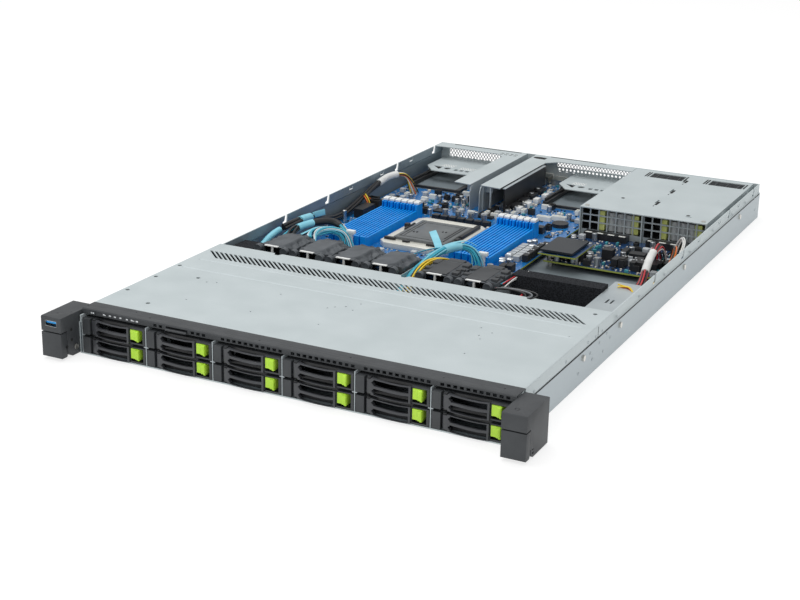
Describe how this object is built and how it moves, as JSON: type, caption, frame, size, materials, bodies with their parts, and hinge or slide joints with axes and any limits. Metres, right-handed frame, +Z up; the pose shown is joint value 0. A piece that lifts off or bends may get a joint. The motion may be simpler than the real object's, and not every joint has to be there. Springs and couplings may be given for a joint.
{
  "type": "rack server",
  "caption": "Low rack server: two rows of pull-out drive carriers in front, a row of fans, open-topped boards with risers, and two pull-out power supplies at the rear.",
  "frame": {"origin": "on the underside, midway across, in the plane of the rack flanges' back faces", "axes": "+X to the right as seen from the front, +Y from the drive bays to the rear, +Z up"},
  "size_m": [0.4826, 0.84, 0.0435],
  "materials": {
    "zinc_steel": "zinc-plated sheet, fine grain",
    "pale_plastic": "silver-grey moulding",
    "charcoal_plastic": "fine texture",
    "black_plastic": "satin",
    "fan_plastic": "satin",
    "blue_plastic": "moulded",
    "white_plastic": "moulded",
    "circuit_board": "solder mask",
    "nickel": "nickel plate",
    "foam": "closed-cell foam",
    "cable_sheath": "vinyl"
  },
  "bodies": {
    "server": {"chassis_base": "zinc_steel", "rear_panel": "zinc_steel", "front_cover": "zinc_steel", "front_bezel": "pale_plastic", "drive_cage": "zinc_steel", "backplane": "circuit_board", "left_ear": "charcoal_plastic", "right_ear": "charcoal_plastic", "io_ports": "nickel", "fan_tray": "zinc_steel", "fan_housings": "fan_plastic", "air_blocks": "foam", "motherboard": "circuit_board", "board_components": "black_plastic", "cpu_socket": "black_plastic", "dimm_sockets": "blue_plastic", "riser_cages": "zinc_steel", "net_cages": "zinc_steel", "psu_cage": "zinc_steel", "power_board": "circuit_board", "option_card": "circuit_board", "cables": "cable_sheath", "fasteners": "nickel"},
    "left_ear_door": {"left_ear_door": "charcoal_plastic"},
    "right_ear_door": {"right_ear_door": "charcoal_plastic"},
    "power_button": {"power_button": "charcoal_plastic"},
    "pull_tag": {"pull_tag": "pale_plastic"},
    "power_supply_1": {"power_supply_1": "zinc_steel"},
    "power_supply_2": {"power_supply_2": "zinc_steel"},
    "dimm_latches": {"dimm_latches": "white_plastic"},
    "fan_rotor_1": {"fan_rotor_1": "black_plastic"},
    "fan_rotor_2": {"fan_rotor_2": "black_plastic"},
    "fan_rotor_3": {"fan_rotor_3": "black_plastic"},
    "fan_rotor_4": {"fan_rotor_4": "black_plastic"},
    "fan_rotor_5": {"fan_rotor_5": "black_plastic"},
    "fan_rotor_6": {"fan_rotor_6": "black_plastic"},
    "drive_carrier_01": {"drive_carrier_01": "charcoal_plastic"},
    "drive_carrier_02": {"drive_carrier_02": "charcoal_plastic"},
    "drive_carrier_03": {"drive_carrier_03": "charcoal_plastic"},
    "drive_carrier_04": {"drive_carrier_04": "charcoal_plastic"},
    "drive_carrier_05": {"drive_carrier_05": "charcoal_plastic"},
    "drive_carrier_06": {"drive_carrier_06": "charcoal_plastic"},
    "drive_carrier_07": {"drive_carrier_07": "charcoal_plastic"},
    "drive_carrier_08": {"drive_carrier_08": "charcoal_plastic"},
    "drive_carrier_09": {"drive_carrier_09": "charcoal_plastic"},
    "drive_carrier_10": {"drive_carrier_10": "charcoal_plastic"},
    "drive_carrier_11": {"drive_carrier_11": "charcoal_plastic"},
    "drive_carrier_12": {"drive_carrier_12": "charcoal_plastic"},
    "carrier_lever_01": {"carrier_lever_01": "charcoal_plastic"},
    "carrier_lever_02": {"carrier_lever_02": "charcoal_plastic"},
    "carrier_lever_03": {"carrier_lever_03": "charcoal_plastic"},
    "carrier_lever_04": {"carrier_lever_04": "charcoal_plastic"},
    "carrier_lever_05": {"carrier_lever_05": "charcoal_plastic"},
    "carrier_lever_06": {"carrier_lever_06": "charcoal_plastic"},
    "carrier_lever_07": {"carrier_lever_07": "charcoal_plastic"},
    "carrier_lever_08": {"carrier_lever_08": "charcoal_plastic"},
    "carrier_lever_09": {"carrier_lever_09": "charcoal_plastic"},
    "carrier_lever_10": {"carrier_lever_10": "charcoal_plastic"},
    "carrier_lever_11": {"carrier_lever_11": "charcoal_plastic"},
    "carrier_lever_12": {"carrier_lever_12": "charcoal_plastic"}
  },
  "joints": [
    {"name": "left_door_hinge", "type": "hinge", "parent": "server", "child": "left_ear_door", "pos_m": [-0.23, -0.0374, 0.0064], "axis": [1, 0, 0], "range_deg": [0, 55]},
    {"name": "right_door_hinge", "type": "hinge", "parent": "server", "child": "right_ear_door", "pos_m": [0.23, -0.0374, 0.0064], "axis": [1, 0, 0], "range_deg": [0, 55]},
    {"name": "power_button_press", "type": "slide", "parent": "server", "child": "power_button", "axis": [0, 1, 0], "range_m": [0, 0.0008], "stiffness_N_per_m": 300},
    {"name": "pull_tag_slide", "type": "slide", "parent": "server", "child": "pull_tag", "axis": [0, -1, 0], "range_m": [0, 0.042]},
    {"name": "power_supply_1_slide", "type": "slide", "parent": "server", "child": "power_supply_1", "axis": [0, 1, 0], "range_m": [0, 0.19]},
    {"name": "power_supply_2_slide", "type": "slide", "parent": "server", "child": "power_supply_2", "axis": [0, 1, 0], "range_m": [0, 0.19]},
    {"name": "dimm_latch_hinge", "type": "hinge", "parent": "server", "child": "dimm_latches", "pos_m": [-0.078, 0.524, 0.013], "axis": [-1, 0, 0], "range_deg": [0, 30]},
    {"name": "fan_spin_1", "type": "hinge", "parent": "server", "child": "fan_rotor_1", "pos_m": [-0.1685, 0.269, 0.022], "axis": [0, 1, 0], "continuous": true},
    {"name": "fan_spin_2", "type": "hinge", "parent": "server", "child": "fan_rotor_2", "pos_m": [-0.1255, 0.269, 0.022], "axis": [0, 1, 0], "continuous": true},
    {"name": "fan_spin_3", "type": "hinge", "parent": "server", "child": "fan_rotor_3", "pos_m": [-0.0825, 0.269, 0.022], "axis": [0, 1, 0], "continuous": true},
    {"name": "fan_spin_4", "type": "hinge", "parent": "server", "child": "fan_rotor_4", "pos_m": [-0.0395, 0.269, 0.022], "axis": [0, 1, 0], "continuous": true},
    {"name": "fan_spin_5", "type": "hinge", "parent": "server", "child": "fan_rotor_5", "pos_m": [0.022, 0.269, 0.022], "axis": [0, 1, 0], "continuous": true},
    {"name": "fan_spin_6", "type": "hinge", "parent": "server", "child": "fan_rotor_6", "pos_m": [0.065, 0.269, 0.022], "axis": [0, 1, 0], "continuous": true},
    {"name": "carrier_slide_01", "type": "slide", "parent": "server", "child": "drive_carrier_01", "axis": [0, -1, 0], "range_m": [0, 0.125]},
    {"name": "lever_hinge_01", "type": "hinge", "parent": "drive_carrier_01", "child": "carrier_lever_01", "pos_m": [-0.203, -0.0184, 0.0093], "axis": [0, 0, -1], "range_deg": [0, 70]},
    {"name": "carrier_slide_02", "type": "slide", "parent": "server", "child": "drive_carrier_02", "axis": [0, -1, 0], "range_m": [0, 0.125]},
    {"name": "lever_hinge_02", "type": "hinge", "parent": "drive_carrier_02", "child": "carrier_lever_02", "pos_m": [-0.203, -0.0184, 0.0276], "axis": [0, 0, -1], "range_deg": [0, 70]},
    {"name": "carrier_slide_03", "type": "slide", "parent": "server", "child": "drive_carrier_03", "axis": [0, -1, 0], "range_m": [0, 0.125]},
    {"name": "lever_hinge_03", "type": "hinge", "parent": "drive_carrier_03", "child": "carrier_lever_03", "pos_m": [-0.131, -0.0184, 0.0093], "axis": [0, 0, -1], "range_deg": [0, 70]},
    {"name": "carrier_slide_04", "type": "slide", "parent": "server", "child": "drive_carrier_04", "axis": [0, -1, 0], "range_m": [0, 0.125]},
    {"name": "lever_hinge_04", "type": "hinge", "parent": "drive_carrier_04", "child": "carrier_lever_04", "pos_m": [-0.131, -0.0184, 0.0276], "axis": [0, 0, -1], "range_deg": [0, 70]},
    {"name": "carrier_slide_05", "type": "slide", "parent": "server", "child": "drive_carrier_05", "axis": [0, -1, 0], "range_m": [0, 0.125]},
    {"name": "lever_hinge_05", "type": "hinge", "parent": "drive_carrier_05", "child": "carrier_lever_05", "pos_m": [-0.059, -0.0184, 0.0093], "axis": [0, 0, -1], "range_deg": [0, 70]},
    {"name": "carrier_slide_06", "type": "slide", "parent": "server", "child": "drive_carrier_06", "axis": [0, -1, 0], "range_m": [0, 0.125]},
    {"name": "lever_hinge_06", "type": "hinge", "parent": "drive_carrier_06", "child": "carrier_lever_06", "pos_m": [-0.059, -0.0184, 0.0276], "axis": [0, 0, -1], "range_deg": [0, 70]},
    {"name": "carrier_slide_07", "type": "slide", "parent": "server", "child": "drive_carrier_07", "axis": [0, -1, 0], "range_m": [0, 0.125]},
    {"name": "lever_hinge_07", "type": "hinge", "parent": "drive_carrier_07", "child": "carrier_lever_07", "pos_m": [0.013, -0.0184, 0.0093], "axis": [0, 0, -1], "range_deg": [0, 70]},
    {"name": "carrier_slide_08", "type": "slide", "parent": "server", "child": "drive_carrier_08", "axis": [0, -1, 0], "range_m": [0, 0.125]},
    {"name": "lever_hinge_08", "type": "hinge", "parent": "drive_carrier_08", "child": "carrier_lever_08", "pos_m": [0.013, -0.0184, 0.0276], "axis": [0, 0, -1], "range_deg": [0, 70]},
    {"name": "carrier_slide_09", "type": "slide", "parent": "server", "child": "drive_carrier_09", "axis": [0, -1, 0], "range_m": [0, 0.125]},
    {"name": "lever_hinge_09", "type": "hinge", "parent": "drive_carrier_09", "child": "carrier_lever_09", "pos_m": [0.085, -0.0184, 0.0093], "axis": [0, 0, -1], "range_deg": [0, 70]},
    {"name": "carrier_slide_10", "type": "slide", "parent": "server", "child": "drive_carrier_10", "axis": [0, -1, 0], "range_m": [0, 0.125]},
    {"name": "lever_hinge_10", "type": "hinge", "parent": "drive_carrier_10", "child": "carrier_lever_10", "pos_m": [0.085, -0.0184, 0.0276], "axis": [0, 0, -1], "range_deg": [0, 70]},
    {"name": "carrier_slide_11", "type": "slide", "parent": "server", "child": "drive_carrier_11", "axis": [0, -1, 0], "range_m": [0, 0.125]},
    {"name": "lever_hinge_11", "type": "hinge", "parent": "drive_carrier_11", "child": "carrier_lever_11", "pos_m": [0.157, -0.0184, 0.0093], "axis": [0, 0, -1], "range_deg": [0, 70]},
    {"name": "carrier_slide_12", "type": "slide", "parent": "server", "child": "drive_carrier_12", "axis": [0, -1, 0], "range_m": [0, 0.125]},
    {"name": "lever_hinge_12", "type": "hinge", "parent": "drive_carrier_12", "child": "carrier_lever_12", "pos_m": [0.157, -0.0184, 0.0276], "axis": [0, 0, -1], "range_deg": [0, 70]}
  ]
}
